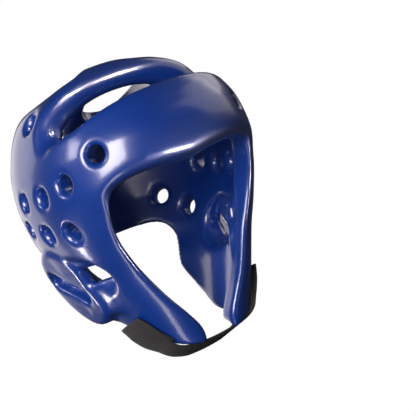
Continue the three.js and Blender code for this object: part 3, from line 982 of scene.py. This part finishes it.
# Fill lights for the back and the left ear, which give no highlights of their own
FILLS = [
    ("back_fill", 165, 30, 1.6, 1.2, 1.0, 16),
    ("right_fill", 108, 5, 1.6, 1.2, 1.0, 12),
]
# Places that the highlights fall on, in metres
CROWN_LEFT = (-0.042, -0.044, 0.096)
CROWN_RIGHT = (0.008, -0.044, 0.098)
BROW_LIP = (-0.012, -0.126, 0.018)
ARM_FACE = (-0.085, -0.025, -0.055)
# Softboxes that only show as highlights on the coat, with the place that each is aimed at and
# its spread in degrees. A grid in front of a softbox narrows its spread.
HIGHLIGHTS = [
    ("right_wall", 66, 22, 1.4, 1.2, 1.1, 4.5, MIDDLE, FULL_SPREAD),
    ("temple_softbox", -98, 30, 1.2, 0.25, 0.4, 3, MIDDLE, FULL_SPREAD),
    ("brow_softbox", 30, -42, 0.5, 0.2, 0.12, 0.15, BROW_LIP, 24),
    ("under_softbox_front", -38, -46, 0.6, 0.08, 0.22, 0.3, MIDDLE, FULL_SPREAD),
    ("arm_softbox", -127, -25, 0.5, 0.08, 0.08, 0.007, ARM_FACE, 20),
    ("crown_softbox_1", 10, 42, 0.4, 0.05, 0.06, 0.012, CROWN_LEFT, 10),
    ("crown_softbox_2", 19, 33, 0.4, 0.05, 0.06, 0.012, CROWN_LEFT, 10),
    ("crown_softbox_3", 30, 22, 0.4, 0.02, 0.06, 0.006, CROWN_RIGHT, 10),
    ("crown_softbox_4", 30, 31, 0.4, 0.02, 0.06, 0.006, CROWN_RIGHT, 10),
]
SURROUND_RADIUS = 9.0
ROOM_LIGHT = 0.03
LIGHT_TINT = (1.0, 0.93, 0.96)


def direction_at(azimuth, elevation):
    """Direction from the guard, in degrees: azimuth 0 is in front of the face."""
    a, e = math.radians(azimuth), math.radians(elevation)
    return Vector((math.sin(a) * math.cos(e), -math.cos(a) * math.cos(e), math.sin(e)))


def aimed(location, target, roll=0.0):
    """Place and turn of a camera or light at a location, aimed at a target."""
    turn = (target - location).to_track_quat("-Z", "Y").to_matrix().to_4x4()
    return Matrix.Translation(location) @ turn @ Matrix.Rotation(math.radians(roll), 4, "Z")


def add_softbox(scene, name, azimuth, elevation, distance, width, height, watts, aim, spread):
    """A rectangular light that the camera doesn't see."""
    light = bpy.data.lights.new(name, "AREA")
    light.shape = "RECTANGLE"
    light.size, light.size_y, light.energy = width, height, watts
    light.spread = math.radians(spread)
    light.color = LIGHT_TINT
    softbox = bpy.data.objects.new(name, light)
    aim = Vector(aim)
    softbox.matrix_world = aimed(aim + direction_at(azimuth, elevation) * distance, aim)
    softbox.visible_camera = False
    scene.collection.objects.link(softbox)
    return softbox


class HEADGUARD_OT_stage(bpy.types.Operator):
    """Sets up the camera, the lights and the white surround"""

    bl_idname = "headguard.stage"
    bl_label = "Stage"

    def execute(self, context):
        scene = context.scene
        camera_data = bpy.data.cameras.new("photo_camera")
        camera_data.lens = VIEW_LENS
        camera_data.sensor_width = 36
        camera_data.shift_x, camera_data.shift_y = VIEW_SHIFT
        camera = bpy.data.objects.new("photo_camera", camera_data)
        location = VIEW_AIM + direction_at(VIEW_AZIMUTH, VIEW_ELEVATION) * VIEW_DISTANCE
        camera.matrix_world = aimed(location, VIEW_AIM, -VIEW_ROLL)
        scene.collection.objects.link(camera)
        scene.camera = camera

        for row in SOFTBOXES:
            add_softbox(scene, *row, MIDDLE, FULL_SPREAD)
        for row in FILLS:
            add_softbox(scene, *row, MIDDLE, FULL_SPREAD).visible_glossy = False
        for row in HIGHLIGHTS:
            add_softbox(scene, *row).visible_diffuse = False

        bpy.ops.mesh.primitive_uv_sphere_add(segments=48, ring_count=24, radius=SURROUND_RADIUS)
        surround = context.object
        surround.name = "white_surround"
        surround.data.materials.append(lit_surround(scene.head_guard.paper_colour))
        # Only the camera sees it, so that it whitens floor and background and lights nothing
        for ray in ("diffuse", "glossy", "transmission", "volume_scatter", "shadow"):
            setattr(surround, f"visible_{ray}", False)

        world = bpy.data.worlds.new("white_room")
        world.use_nodes = True
        background = world.node_tree.nodes["Background"]
        background.inputs["Color"].default_value = (1, 1, 1, 1)
        background.inputs["Strength"].default_value = ROOM_LIGHT
        scene.world = world
        scene.view_settings.view_transform = "Standard"
        return {"FINISHED"}


class HEADGUARD_PT_panel(bpy.types.Panel):
    """Sizes, colours and pieces of the head guard"""

    bl_idname = "HEADGUARD_PT_panel"
    bl_label = "Head Guard"
    bl_space_type = "VIEW_3D"
    bl_region_type = "UI"
    bl_category = "Head Guard"

    def draw(self, context):
        settings = context.scene.head_guard
        column = self.layout.column()
        for name in HeadGuardSettings.__annotations__:
            column.prop(settings, name)
        for operator in OPERATORS:
            column.operator(operator.bl_idname)


# The operators in the order that main calls them
OPERATORS = (
    HEADGUARD_OT_foam,
    HEADGUARD_OT_strap,
    HEADGUARD_OT_hook_patch,
    HEADGUARD_OT_stage,
)
CLASSES = (HeadGuardSettings, *OPERATORS, HEADGUARD_PT_panel)


def register():
    for cls in CLASSES:
        bpy.utils.register_class(cls)
    bpy.types.Scene.head_guard = PointerProperty(type=HeadGuardSettings)


def unregister():
    del bpy.types.Scene.head_guard
    for cls in reversed(CLASSES):
        bpy.utils.unregister_class(cls)


def main():
    register()
    for operator in OPERATORS:
        group, name = operator.bl_idname.split(".")
        getattr(getattr(bpy.ops, group), name)()


if __name__ == "__main__":
    main()
